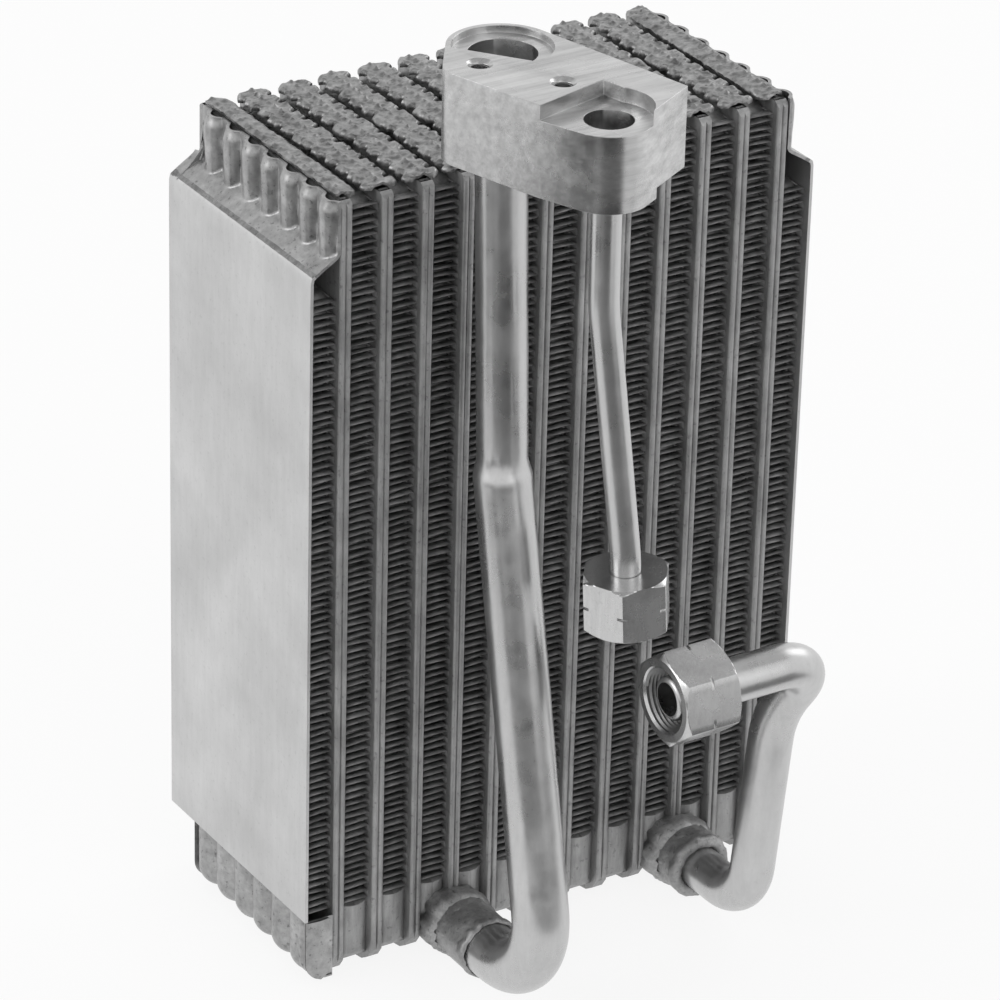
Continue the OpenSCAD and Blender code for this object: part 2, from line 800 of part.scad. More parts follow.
module block_body() {
    seat_floor = block_height - suction_seat_depth;
    step_floor = block_height - step_depth;
    difference() {
        linear_extrude(block_height) block_outline();
        translate([0, 0, seat_floor]) suction_seat();
        translate([0, 0, seat_floor - suction_port_depth])
            cylinder(h = suction_port_depth, r = suction_port_radius);
        translate([0, 0, -over]) cylinder(h = block_height - suction_seat_depth,
            r = suction_neck_radius - suction_wall);
        translate([step_along, -2 * suction_end_radius, step_floor])
            cube([liquid_port_along - step_along, 2 * suction_end_radius + step_aside, step_depth + over]);
        translate([liquid_port_along, liquid_port_aside, step_floor])
            cylinder(h = step_depth + over, r = liquid_end_radius + end_land);
        translate([liquid_port_along, liquid_port_aside, step_floor - liquid_port_depth])
            cylinder(h = liquid_port_depth + over, r = liquid_port_radius);
        translate([liquid_port_along, liquid_port_aside, -over])
            cylinder(h = block_height - step_depth, r = liquid_radius - liquid_wall);
        screw_hole(first_screw);
        screw_hole(second_screw);
        translate([liquid_port_along - relief_length, 0, -over]) cube([wide, wide, relief_depth + over]);
    }
}

// Nuts, each from its mouth at the origin back along +Z

module nut(flats, length, thread_radius, pipe_radius) {
    corner = flats / sqrt(3);
    past_corner = corner + 0.1;
    chamfer = 1.6;
    mouth_land = flats / 2 - 0.4;
    back_land = flats / 2 - 1.2;
    mark = 0.8;
    difference() {
        intersection() {
            cylinder(h = length, r = corner, $fn = 6);
            rotate_extrude() polygon([
                [0, 0], [mouth_land, 0], [past_corner, chamfer],
                [past_corner, length - 1.5 * chamfer], [back_land, length], [0, length]]);
        }
        translate([0, 0, -over]) cylinder(h = thread_length + over, r = thread_radius);
        translate([0, 0, -over]) cylinder(h = mouth_cone + over,
            r1 = thread_radius + mouth_cone + over, r2 = thread_radius);
        cylinder(h = length + over, r = pipe_radius + nut_clearance);
        translate([0, 0, length / 2]) rotate_extrude()
            rectangle(corner - mark, corner + mark, -mark / 2, mark / 2);
    }
}

module liquid_nut() {
    color(bright) on_axis(liquid_mouth, liquid_axis) rotate(liquid_nut_turn)
        nut(liquid_nut_flats, liquid_nut_length, liquid_thread_radius, liquid_radius);
}

module inlet_nut() {
    color(bright) on_axis(inlet_mouth, [1, 0, 0]) rotate(inlet_nut_turn)
        nut(inlet_nut_flats, inlet_nut_length, inlet_thread_radius, inlet_radius);
}

end_plate();  // left_end_plate
translate([core_length, 0, 0]) mirror([1, 0, 0]) end_plate();  // right_end_plate
for (i = [1:tube_count]) for (side = ["left", "right"])
    placed_plate(i, side);
for (i = [1:tube_count + 1])
    fin(i);
stub(suction_x, suction_z, suction_stub_radius, suction_stub_length, suction_radius + socket_clearance);  // suction_stub
stub(inlet_x, inlet_z, inlet_stub_radius, inlet_stub_length, inlet_radius + socket_clearance);  // inlet_stub
suction_pipe();
inlet_pipe();
liquid_pipe();
connector_block();
liquid_nut();
inlet_nut();
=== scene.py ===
import math
import random
import bmesh
import bpy
from mathutils import Matrix, Vector, noise


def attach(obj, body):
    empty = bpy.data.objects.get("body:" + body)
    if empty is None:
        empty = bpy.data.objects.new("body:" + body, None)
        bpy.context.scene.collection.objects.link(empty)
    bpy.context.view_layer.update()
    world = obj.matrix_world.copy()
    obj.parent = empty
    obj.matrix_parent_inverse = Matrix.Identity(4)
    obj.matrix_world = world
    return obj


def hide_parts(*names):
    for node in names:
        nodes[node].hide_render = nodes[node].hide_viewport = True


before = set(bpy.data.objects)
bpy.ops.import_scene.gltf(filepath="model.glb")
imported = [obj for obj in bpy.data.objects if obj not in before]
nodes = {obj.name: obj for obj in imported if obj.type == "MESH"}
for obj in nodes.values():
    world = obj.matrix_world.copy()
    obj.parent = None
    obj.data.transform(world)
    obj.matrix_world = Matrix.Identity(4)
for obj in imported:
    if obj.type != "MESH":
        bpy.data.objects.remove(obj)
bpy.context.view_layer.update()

mm = 0.001

# The stack, in millimetres, as the part's source has it
core = dict(tubes=12, pitch=12.5, endGap=11.0, tube=3.6, front=-38.5, foot=-120.0, top=120.0,
            length=159.5, endSheet=1.0)

weld = 0.002  # corners closer than this become one


# The middle of a tube, counted from 1 at the left
def tubeX(i):
    return core["endGap"] + (i - 1) * core["pitch"]


# Links a finished mesh, in metres, as a piece on its body
def placePiece(name, bm, finish, body, smooth, replaces):
    mesh = bpy.data.meshes.new(name)
    bm.to_mesh(mesh)
    bm.free()
    mesh.materials.append(metals[finish])
    mesh.shade_smooth()
    mesh.set_sharp_from_angle(angle=math.radians(smooth))
    piece = bpy.data.objects.new(name, mesh)
    bpy.context.collection.objects.link(piece)
    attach(piece, body)
    if replaces:
        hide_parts(*replaces)
    return piece


# A mesh drawn in millimetres becomes a finished piece in metres
def newPiece(name, bm, finish, body="core", smooth=35, replaces=(), merge=weld, turnOut=True):
    if merge:
        bmesh.ops.remove_doubles(bm, verts=bm.verts, dist=merge)
    if turnOut:
        bmesh.ops.recalc_face_normals(bm, faces=bm.faces)
    bmesh.ops.scale(bm, verts=bm.verts, vec=(mm, mm, mm))
    return placePiece(name, bm, finish, body, smooth, replaces)


# Sharp edges broken by a small bevel
def breakEdges(piece, name, width, angle):
    broken = piece.modifiers.new(name, "BEVEL")
    broken.width = width * mm
    broken.segments = 2
    broken.limit_method = "ANGLE"
    broken.angle_limit = math.radians(angle)


# The corners among what an operator made
def vertsIn(geometry):
    return [g for g in geometry if isinstance(g, bmesh.types.BMVert)]


# A flat grid one unit wide and high about the origin, to be put in shape
def grid(bm, columns, rows):
    return bmesh.ops.create_grid(bm, x_segments=columns, y_segments=rows, size=0.5)["verts"]


# 0 at a and 1 at b, with a soft start and end
def ease(a, b, t):
    t = min(max((t - a) / (b - a), 0), 1)
    return t * t * (3 - 2 * t)


# 1 in the middle, falling off on both sides
def bell(distance, half):
    return math.exp(-(distance / half) ** 2)


# How far a circle's edge lies inside its tangent, at a distance from where they touch
def roundOff(radius, distance):
    return radius - math.sqrt(max(0, radius ** 2 - distance ** 2))


# Smooth unevenness between about -1 and 1, with lumps of the given size
def wobble(x, y, z, size):
    return noise.noise(Vector((x, y, z)) / size)


# Where in the noise's range each effect sets in and is full, how much the effects do, and each
# noise's detail and roughness
metalNoise = dict(colour=(0.28, 0.72), streaks=(0.3, 0.7), specks=(0.6, 0.72), roughness=(0.3, 0.7),
                  smoother=0.07, rougher=0.09, fineRelief=0.00006, coarseRelief=0.0005, ior=1.45,
                  haze=(5.0, 0.62), grain=(4.0, 0.7), dots=(2.0, 0.6), dents=(2.0, 0.5))


# Bare aluminium: cloudy colour, grain along one direction, dark specks, fine and coarse unevenness
def metal(name, s):
    mat = bpy.data.materials.new(name)
    mat.use_nodes = True
    tree = mat.node_tree
    shader = tree.nodes["Principled BSDF"]
    shader.inputs["Metallic"].default_value = s["metallic"]
    shader.inputs["IOR"].default_value = metalNoise["ior"]

    def link(a, b):
        tree.links.new(a, b)

    def node(kind, **values):
        made = tree.nodes.new(kind)
        for key, value in values.items():
            made.inputs[key.replace("_", " ")].default_value = value
        return made

    def noiseFrom(vector, kind, scale):
        detail, roughness = metalNoise[kind]
        made = node("ShaderNodeTexNoise", Scale=scale, Detail=detail, Roughness=roughness)
        link(vector, made.inputs["Vector"])
        return made.outputs["Fac"]

    def ranged(factor, effect, low, high):
        start, full = metalNoise[effect]
        made = node("ShaderNodeMapRange", From_Min=start, From_Max=full, To_Min=low, To_Max=high)
        link(factor, made.inputs["Value"])
        return made.outputs["Result"]

    coords = node("ShaderNodeTexCoord").outputs["Object"]
    stretch = node("ShaderNodeMapping", Scale=s.get("stretch", (1, 1, 1)),
                   Rotation=s.get("turn", (0, 0, 0)))
    link(coords, stretch.inputs["Vector"])
    haze = noiseFrom(coords, "haze", s.get("hazeScale", 60))
    grain = noiseFrom(stretch.outputs["Vector"], "grain", s.get("grainScale", 900))
    specks = noiseFrom(coords, "dots", s.get("speckScale", 700))
    dents = noiseFrom(coords, "dents", s.get("dentScale", 140))

    colour = node("ShaderNodeValToRGB")
    for element, at, share in zip(colour.color_ramp.elements, metalNoise["colour"],
                                  (1 - s["haze"], 1 + s["haze"])):
        element.position = at
        element.color = (*[min(1, s["colour"] * share)] * 3, 1)
    link(haze, colour.inputs["Fac"])
    both = node("ShaderNodeMath")
    both.operation = "MULTIPLY"
    link(ranged(grain, "streaks", 1 - s["streaks"], 1.0), both.inputs[0])
    link(ranged(specks, "specks", 1.0, 1 - s["specks"]), both.inputs[1])
    tint = node("ShaderNodeVectorMath")
    tint.operation = "SCALE"
    link(colour.outputs["Color"], tint.inputs[0])
    link(both.outputs["Value"], tint.inputs["Scale"])
    link(tint.outputs["Vector"], shader.inputs["Base Color"])
    link(ranged(haze, "roughness", s["roughness"] - metalNoise["smoother"],
                s["roughness"] + metalNoise["rougher"]), shader.inputs["Roughness"])

    fine = node("ShaderNodeBump", Strength=s["fineBump"], Distance=metalNoise["fineRelief"])
    link(grain, fine.inputs["Height"])
    coarse = node("ShaderNodeBump", Strength=s["dentBump"], Distance=metalNoise["coarseRelief"])
    link(dents, coarse.inputs["Height"])
    link(fine.outputs["Normal"], coarse.inputs["Normal"])
    link(coarse.outputs["Normal"], shader.inputs["Normal"])
    return mat


finishes = dict(
    panel=dict(colour=0.60, haze=0.14, hazeScale=28, streaks=0.07, specks=0.1, roughness=0.48,
               stretch=(1, 1, 0.12), grainScale=500, fineBump=0.12, dentBump=0.05, metallic=0.85),
    # The pressed metal: the pressing's own rougher finish above the panel; its darker colour on the
    # tank's fingers is painted shade in their grooves
    pressed_and_shade=dict(colour=0.42, haze=0.3, hazeScale=120, streaks=0.3, specks=0.45, roughness=0.33,
                 grainScale=420, fineBump=0.4, dentBump=0.35, dentScale=200, metallic=0.85),
    # The crease metal: darker, painted as shade along the fold just above the panel
    crease_shade=dict(colour=0.3, haze=0.4, hazeScale=200, streaks=0.4, specks=0.4, roughness=0.5,
                fineBump=0.5, dentBump=0.4, metallic=0.7),
    # The thread metal is dark as painted shade inside bores and screw holes
    threads=dict(colour=0.26, haze=0.2, streaks=0.2, specks=0.2, roughness=0.4, fineBump=0.2,
                 dentBump=0.1, metallic=0.8),
    plates=dict(colour=0.41, haze=0.25, streaks=0.3, specks=0.35, roughness=0.42,
                stretch=(1, 1, 0.2), grainScale=700, fineBump=0.35, dentBump=0.3, metallic=0.5),
    shelf=dict(colour=0.36, haze=0.55, hazeScale=260, streaks=0.4, specks=0.6, speckScale=520,
               roughness=0.36, grainScale=420, fineBump=0.7, dentBump=0.8, dentScale=330,
               metallic=0.85),
    # The bends metal: the fins' folds, painted dark as shade where the fins meet the plates
    bends=dict(colour=0.2, haze=0.4, streaks=0.3, specks=0.3, roughness=0.5, fineBump=0.3,
               dentBump=0.3, metallic=0.3),
    fins=dict(colour=0.33, haze=0.55, hazeScale=170, streaks=0.3, specks=0.2, roughness=0.5,
              fineBump=0.2, dentBump=0.2, metallic=0.3),
    stubs=dict(colour=0.42, haze=0.3, hazeScale=110, streaks=0.3, specks=0.4, roughness=0.48,
               fineBump=0.6, dentBump=1.0, dentScale=220, metallic=0.7),
    pipes=dict(colour=0.57, haze=0.1, streaks=0.08, specks=0.04, roughness=0.29,
               stretch=(1, 1, 0.15), grainScale=600, fineBump=0.05, dentBump=0.03, metallic=0.95),
    block=dict(colour=0.63, haze=0.18, hazeScale=35, streaks=0.35, specks=0.06, roughness=0.27,
               stretch=(0.05, 1, 1), turn=(0, 0, 1.309), grainScale=380, fineBump=0.4,
               dentBump=0.06, metallic=0.97),
    nuts=dict(colour=0.60, haze=0.08, streaks=0.12, specks=0.08, roughness=0.24,
              stretch=(1, 1, 0.1), fineBump=0.2, dentBump=0.04, metallic=0.97))
metals = {name: metal(name, s) for name, s in finishes.items()}

# The first word that a node's name holds gives its finish
finishOf = (("end_plate", "panel"), ("plate", "plates"), ("fin", "fins"), ("stub", "stubs"),
            ("pipe", "pipes"), ("block", "block"), ("nut", "nuts"))
for name, obj in nodes.items():
    obj.data.materials.clear()
    obj.data.materials.append(metals[next(finish for word, finish in finishOf if word in name)])
print("CAD nodes finished:", len(nodes))

# Fins: one folded strip with cut louvres in each gap. In the noise the strips lie "apart" from one
# another, so that no two are alike
finStrip = dict(spacing=2.1, wall=0.12, edge=36.2, low=-97.05, innerTop=117.3, endTop=96.0,
                bend=0.22, bendSteps=3, land=2.6, middleLand=2.4, slats=7, tilt=30, margin=0.5,
                clear=0.05, slack=0.01, touch=0.001, unevenness=0.56, wave=3.2, apart=40)


# One leaf: plain lands at the edges and in the middle, tilted slats between them
def finLeaf(bm, left, right, height, tilt):
    s = finStrip

    def patch(x1, x2, y1, y2, lean=0.0):
        verts = grid(bm, 1, 1)
        leaned = Matrix.Rotation(math.radians(lean), 3, "X")
        bmesh.ops.scale(bm, verts=verts, vec=(x2 - x1, y2 - y1, 1))
        bmesh.ops.rotate(bm, verts=verts, cent=(0, 0, 0), matrix=leaned)
        bmesh.ops.translate(bm, verts=verts, vec=((x1 + x2) / 2, (y1 + y2) / 2, height))

    edge, inner = s["edge"], s["edge"] - s["land"]
    slatLeft, slatRight = left + s["margin"], right - s["margin"]
    patch(left, right, -edge, -inner)
    patch(left, right, inner, edge)
    patch(left, right, -s["middleLand"] / 2, s["middleLand"] / 2)
    patch(left, slatLeft, -inner, inner)
    patch(slatRight, right, -inner, inner)
    width = (inner - s["middleLand"] / 2) / s["slats"]
    for k in range(s["slats"]):
        start = s["middleLand"] / 2 + k * width
        patch(slatLeft, slatRight, start, start + width, tilt)
        patch(slatLeft, slatRight, -start - width, -start, -tilt)


# A half turn from one leaf's end to the next, pressed flatter than it is high
def finBend(bm, x, height, outward):
    s = finStrip
    half = s["spacing"] / 2
    ends = [bm.verts.new((x, y, height)) for y in (-s["edge"], s["edge"])]
    line = bm.edges.new(ends)
    bmesh.ops.spin(bm, geom=ends + [line], cent=(x, 0, height + half), axis=(0, 1, 0),
                   dvec=(0, 0, 0), angle=-outward * math.pi, steps=s["bendSteps"],
                   use_duplicate=False)
    verts = {v for part in bm.edges if part.is_wire or part.is_boundary for v in part.verts
             if abs(v.co.z - height - half) <= half + s["slack"]
             and (v.co.x - x) * outward > s["touch"]}
    for v in verts:
        v.co.x = x + (v.co.x - x) * s["bend"] / half


# The strip in one gap: two leaves and two bends, repeated up to its height
def finRun(number, middle, width, high):
    s = finStrip
    bm = bmesh.new()
    reach = width / 2 - s["clear"]
    left, right = middle - reach + s["bend"], middle + reach - s["bend"]
    finLeaf(bm, left, right, s["low"], s["tilt"])
    finBend(bm, right, s["low"], 1)
    finLeaf(bm, left, right, s["low"] + s["spacing"], -s["tilt"])
    finBend(bm, left, s["low"] + s["spacing"], -1)
    fold = bm.verts[:] + bm.edges[:] + bm.faces[:]
    for k in range(1, int((high - s["low"]) / (2 * s["spacing"]))):
        copy = bmesh.ops.duplicate(bm, geom=fold)["geom"]
        bmesh.ops.translate(bm, verts=vertsIn(copy), vec=(0, 0, 2 * s["spacing"] * k))
    for v in bm.verts:
        row = v.co.y + s["apart"] * number
        v.co.z += s["unevenness"] * wobble(v.co.x, row, v.co.z, s["wave"])
    # Faces of the folds take the dark bends metal: painted shade where the fins meet the plates
    for f in bm.faces:
        aside = abs(f.calc_center_median().x - middle)
        f.material_index = int(aside > reach - s["bend"] + s["slack"])
    piece = newPiece(f"fin_strip_{number:02d}", bm, "fins", replaces=(f"fin_{number:02d}",),
                     merge=0, turnOut=False)
    piece.data.materials.append(metals["bends"])
    thick = piece.modifiers.new("wall", "SOLIDIFY")
    thick.thickness = s["wall"] * mm
    thick.offset = 0


innerGap = core["pitch"] - core["tube"]
endGap = core["endGap"] - core["tube"] / 2 - core["endSheet"]
firstMiddle = core["endSheet"] + endGap / 2
for number in range(1, core["tubes"] + 2):
    if number == 1:
        finRun(number, firstMiddle, endGap, finStrip["endTop"])
    elif number == core["tubes"] + 1:
        finRun(number, core["length"] - firstMiddle, endGap, finStrip["endTop"])
    else:
        finRun(number, tubeX(number) - core["pitch"] / 2, innerGap, finStrip["innerTop"])
print("fins made:", core["tubes"] + 1)

# Plates: copies cut off just below the shelf, which is a piece of its own
plateRim = dict(cut=1.3, width=0.4, angle=50)


def plateWall(name):
    s = plateRim
    bm = bmesh.new()
    bm.from_mesh(nodes[name].data)
    bmesh.ops.scale(bm, verts=bm.verts, vec=(1 / mm, 1 / mm, 1 / mm))
    bmesh.ops.remove_doubles(bm, verts=bm.verts, dist=weld)
    bmesh.ops.bisect_plane(bm, geom=bm.verts[:] + bm.edges[:] + bm.faces[:], dist=0.0001,
                           plane_co=(0, 0, core["top"] - s["cut"]), plane_no=(0, 0, 1),
                           clear_outer=True)
    piece = newPiece(name + "_wall", bm, "plates", replaces=(name,), merge=0, turnOut=False)
    breakEdges(piece, "rounded", s["width"], s["angle"])


for name in nodes:
    if name.startswith("plate_"):
        plateWall(name)

# Top shelves: one bent-over strip on each tube, with scalloped edges and dimples along the middle
shelf = dict(half=5.6, end=34.95, corner=2.4, rise=0.1, wall=0.75, columns=24, rows=180, seed=40,
             outerStart=1.6, outerTrim=0.3, shift=(-0.25, 0.1), edgeWander=0.2, edgeWave=2.5,
             notchPitch=6.3, firstNotch=5.35, notches=5, notchHalf=1.9, notchFloor=0.45,
             notchDepth=2.1, notchShift=0.4, notchShare=(0.7, 1.15), smallNotch=0.3,
             dimplePitch=3.15, dimpleRise=0.7, dimpleHalf=0.75, dimpleShift=0.5, dimpleWave=3,
             tabRise=0.35, tabAt=4.0, tabHalf=1.1, curl=0.9, curlFrom=0.7, unevenness=0.4,
             wave=2.4, fineWave=1.1, apart=5, tipRise=0.5, tipWave=9, tipFrom=24, tipTo=35)


def shelfStrip(number):
    s = shelf
    chance = random.Random(s["seed"] + number)
    outer = number in (1, core["tubes"])
    inward = 1 if number == 1 else -1
    places = [sign * (s["firstNotch"] + k * s["notchPitch"])
              for sign in (-1, 1) for k in range(s["notches"])]
    notches = {}
    for side in (-1, 1):
        large = [(at + chance.uniform(-s["notchShift"], s["notchShift"]),
                  chance.uniform(*s["notchShare"])) for at in places]
        small = [(at + s["notchPitch"] / 2, s["smallNotch"] * share) for at, share in large]
        notches[side] = large + small
    shift = {side: chance.uniform(*s["shift"]) for side in (-1, 1)}

    # how much of a whole notch is cut away at this place along an edge
    def cut(side, y):
        return max(0, *(share * (1 - ease(s["notchFloor"], 1.0, abs(y - at) / s["notchHalf"]))
                        for at, share in notches[side]))

    bm = bmesh.new()
    x0 = tubeX(number)
    for v in grid(bm, s["columns"] // (2 if outer else 1), s["rows"]):
        u, y = 2 * v.co.x, 2 * v.co.y * s["end"]
        if outer:
            u = inward * (v.co.x + 0.5)
        side = 1 if u > 0 else -1
        half = s["half"] + shift[side]
        half -= s["outerTrim"] if outer else s["notchDepth"] * cut(side, y)
        half -= roundOff(s["corner"], max(0, s["corner"] - s["end"] + abs(y)))
        half += s["edgeWander"] * wobble(number * 9 + side, y, 0, s["edgeWave"])
        x = u * half
        if outer:
            x = inward * (-s["outerStart"] + abs(u) * (half + s["outerStart"]))
        dimple = round(y / s["dimplePitch"]) * s["dimplePitch"]
        dimpleX = s["dimpleShift"] * wobble(dimple, number, 0, s["dimpleWave"])
        tab = 0 if outer else 1 - cut(side, y)
        z = core["top"] + s["rise"]
        z += (s["dimpleRise"] * bell(y - dimple, s["dimpleHalf"])
              * bell(x - dimpleX, s["dimpleHalf"]))
        z += s["tabRise"] * tab * bell(abs(x) - s["tabAt"], s["tabHalf"])
        layer = s["apart"] * number
        z += s["unevenness"] * (wobble(x0 + x, y, layer, s["wave"])
                                + 0.5 * wobble(x0 + x, y, layer, s["fineWave"]))
        z -= s["curl"] * (max(0, abs(u) - s["curlFrom"]) / (1 - s["curlFrom"])) ** 2
        z += (s["tipRise"] * wobble(number, y, 0, s["tipWave"])
              * ease(s["tipFrom"], s["tipTo"], abs(y)))
        v.co = (x0 + x, y, z)
    rim = [e for e in bm.edges if e.is_boundary]
    down = bmesh.ops.extrude_edge_only(bm, edges=rim)["geom"]
    bmesh.ops.translate(bm, verts=vertsIn(down), vec=(0, 0, -s["wall"]))
    newPiece(f"top_shelf_{number:02d}", bm, "shelf", smooth=50)


for number in range(1, core["tubes"] + 1):
    shelfStrip(number)
print("plates and top shelves made:", core["tubes"])

# End plates: a pressed sheet with flutes above, and the fingered tank wall below
endSheet = dict(wall=0.9, panelTop=99, panelFoot=-98.3, shoulderTop=104, wallX=8.2, top=119.2,
                leastX=0.02, columns=200, panelRows=26, upperRows=52, fineBelow=1.5,
                lip=0.35, lipHalf=1.2, shoulderBlend=1.2, wear=0.3, wearWave=1.8, wearIn=(-1, 2),
                wearOut=(4, 8), flutes=7, flutePitch=10.25, firstFlute=-34.2, fluteRadius=3.7,
                fluteProud=2.9, fluteSway=0.25, fluteWave=9, fluteLean=0.35, leanOver=18,
                fluteTip=0.9, tipOver=3.5, blend=0.7, unevenness=0.1, wave=45, rearEdge=34.5,
                rearRun=0.3, rearRise=0.6, edgeWander=0.15, edgeWave=4, pressedAbove=0.4,
                creaseAt=0.6, creaseHalf=0.45, creaseWander=0.3, creaseWave=3)
endTank = dict(fingers=6, lastShare=0.44, pitch=10.5, first=-31.5, radius=6.4, inset=0.15,
               top=-98.4, foot=-118.3, front=-38.3, seat=9.2, columns=170, rows=34,
               closureFrom=-3, closureIn=0.25, groove=0.5, grooveAt=-5, grooveHalf=0.7,
               edgeIn=0.5, edge=(-6.2, -6.8), unevenness=0.06, wave=4, sideColumns=14,
               sideRows=24, sideBehind=0.3)
tankShield = dict(ahead=0.15, below=0.4, shorter=0.6, narrower=0.4, topRadius=2.5, footRadius=5.0,
                  ridge=4.6, slope=0.12, proud=0.35, unevenness=0.05, wave=2)


# The smaller of two values, with the corner between them rounded
def softMin(a, b, k):
    h = max(k - abs(a - b), 0) / k
    return min(a, b) - h * h * k / 4


# The repeat nearest to a place, and how far the place is from its middle
def nearest(y, first, pitch, count):
    k = min(max(round((y - first) / pitch), 0), count - 1)
    return k, y - first - k * pitch


# How far in the sheet's outside lies: panel, sloped shoulder, set-back wall and flutes
def sheetX(y, z):
    s = endSheet
    rise, below = z - s["panelTop"], s["top"] - z
    slope = s["wallX"] * max(0, rise) / (s["shoulderTop"] - s["panelTop"])
    x = softMin(slope + s["lip"] * bell(rise, s["lipHalf"]), s["wallX"], s["shoulderBlend"])
    worn = ease(*s["wearIn"], rise) * (1 - ease(*s["wearOut"], rise))
    x += s["wear"] * wobble(y, z, 7, s["wearWave"]) * worn
    k, off = nearest(y, s["firstFlute"], s["flutePitch"], s["flutes"])
    off += s["fluteSway"] * wobble(k * 5, 0, z, s["fluteWave"])
    if rise > 0 and abs(off) < s["fluteRadius"]:
        crown = s["wallX"] - s["fluteProud"] + roundOff(s["fluteRadius"], off)
        crown += s["fluteLean"] * ease(0, s["leanOver"], below)
        crown += s["fluteTip"] * ease(s["tipOver"], 0, below)
        x = softMin(x, crown, s["blend"])
    return max(x + s["unevenness"] * wobble(y, z, 0, s["wave"]), s["leastX"])


# The panel, its shoulder and the fluted wall above, as a sheet with an inside
def pressedSheet():
    s = endSheet
    bm = bmesh.new()
    rows = s["panelRows"] + s["upperRows"]
    fineFrom = s["panelTop"] - s["fineBelow"]
    for v in grid(bm, s["columns"], rows):
        y = core["front"] * 2 * -v.co.x
        row = (v.co.y + 0.5) * rows
        if row <= s["panelRows"]:
            z = s["panelFoot"] + (fineFrom - s["panelFoot"]) * row / s["panelRows"]
        else:
            rear = ease(s["rearEdge"] - s["rearRun"], s["rearEdge"] + s["rearRun"], y)
            high = s["top"] - (s["top"] - s["shoulderTop"] - s["rearRise"]) * rear
            high += s["edgeWander"] * wobble(y, 3, 0, s["edgeWave"])
            z = fineFrom + (high - fineFrom) * (row - s["panelRows"]) / s["upperRows"]
        v.co = (sheetX(y, z), y, z)
    bmesh.ops.recalc_face_normals(bm, faces=bm.faces)
    if sum(f.normal.x for f in bm.faces) > 0:
        bmesh.ops.reverse_faces(bm, faces=bm.faces)
    bmesh.ops.solidify(bm, geom=bm.faces[:], thickness=s["wall"])
    for v in bm.verts:
        v.co.y = min(max(v.co.y, core["front"]), -core["front"])
    return bm


# A place on the tank wall's outline: down the side, round the bend and in along the foot
def tankProfile(t, inward):
    s = endTank
    radius, bendX = s["radius"] - inward, s["inset"] + s["radius"]
    straight = s["top"] - s["foot"] - s["radius"]
    bend = math.pi / 2 * s["radius"]
    run = t * (straight + bend + s["seat"] - bendX)
    if run < straight:
        return s["inset"] + inward, s["top"] - run
    if run < straight + bend:
        a = (run - straight) / s["radius"]
        return bendX - radius * math.cos(a), s["foot"] + s["radius"] - radius * math.sin(a)
    return bendX + run - straight - bend, s["foot"] + inward


# A flat side across the tank wall's end; the shield in front of one is shorter and has a ridge
def tankSide(bm, at, shield=None):
    s, h = endTank, shield or dict(below=0, shorter=0)
    tall = s["top"] - s["foot"] - h["shorter"]
    for v in grid(bm, s["sideColumns"], s["sideRows"]):
        z = s["top"] - h["below"] - tall * (0.5 - v.co.y)
        left = s["inset"] + s["closureIn"]
        left += roundOff(s["radius"], max(0, s["foot"] + s["radius"] - z))
        right, y = s["seat"], at
        if shield:
            right -= h["narrower"] + roundOff(h["topRadius"], max(0, h["topRadius"] - s["top"] + z))
            right -= roundOff(h["footRadius"], max(0, h["footRadius"] + s["foot"] - z))
            right = max(right, left)
        x = left + (right - left) * (v.co.x + 0.5)
        if shield:
            y += h["slope"] * abs(x - h["ridge"]) - h["proud"]
            y += h["unevenness"] * wobble(x, z, 1, h["wave"])
        v.co = (x, y, z)


# The tank wall: rounded fingers, a groove and a flat closure beside the first, and the sides
def tankWall():
    s = endTank
    bm = bmesh.new()
    rear = s["first"] + (s["fingers"] - 1 + s["lastShare"]) * s["pitch"]
    for v in grid(bm, s["columns"], s["rows"]):
        y = s["front"] + (v.co.x + 0.5) * (rear - s["front"])
        k, off = nearest(y, s["first"], s["pitch"], s["fingers"])
        inward = roundOff(s["radius"], off)
        if off < s["closureFrom"] and k == 0:
            inward = s["closureIn"] + s["groove"] * bell(off - s["grooveAt"], s["grooveHalf"])
            inward += s["edgeIn"] * ease(*s["edge"], off)
        x, z = tankProfile(0.5 - v.co.y, inward)
        v.co = (x + s["unevenness"] * wobble(y, z, 3, s["wave"]), y, z)
    tankSide(bm, s["front"] + s["sideBehind"])
    tankSide(bm, rear)
    tankSide(bm, s["front"] - tankShield["ahead"], tankShield)
    bmesh.ops.recalc_face_normals(bm, faces=bm.faces)
    mesh = bpy.data.meshes.new("tank")
    bm.to_mesh(mesh)
    bm.free()
    return mesh


# Sheet and tank wall together, with a darker metal of its own for what is pressed, which is painted
# shade on the tank's fingers, and a band painted as shade along the crease
def endPlate(name, mirrored):
    s = endSheet
    bm = pressedSheet()
    bm.from_mesh(tankWall())
    if mirrored:
        bmesh.ops.scale(bm, verts=bm.verts, vec=(-1, 1, 1))
        bmesh.ops.translate(bm, verts=bm.verts, vec=(core["length"], 0, 0))
        bmesh.ops.reverse_faces(bm, faces=bm.faces)
    for f in bm.faces:
        middle = f.calc_center_median()
        rise = middle.z - s["panelTop"]
        crease_shade = s["creaseHalf"] + s["creaseWander"] * wobble(middle.y, 0, 9, s["creaseWave"])
        # The fingers below the panel take the darker pressed metal as painted shade in their
        # grooves; the flutes and shoulder above take it as the pressing's finish
        f.material_index = int(rise > s["pressedAbove"] or middle.z < s["panelFoot"])
        # Along the crease a band is painted darker as shade
        if abs(rise - s["creaseAt"]) < crease_shade:
            f.material_index = 2
    piece = newPiece(name + "_sheet", bm, "panel", smooth=40, replaces=(name,), merge=0,
                     turnOut=False)
    piece.data.materials.append(metals["pressed_and_shade"])
    piece.data.materials.append(metals["crease_shade"])


endPlate("left_end_plate", False)
endPlate("right_end_plate", True)
print("end plates made")


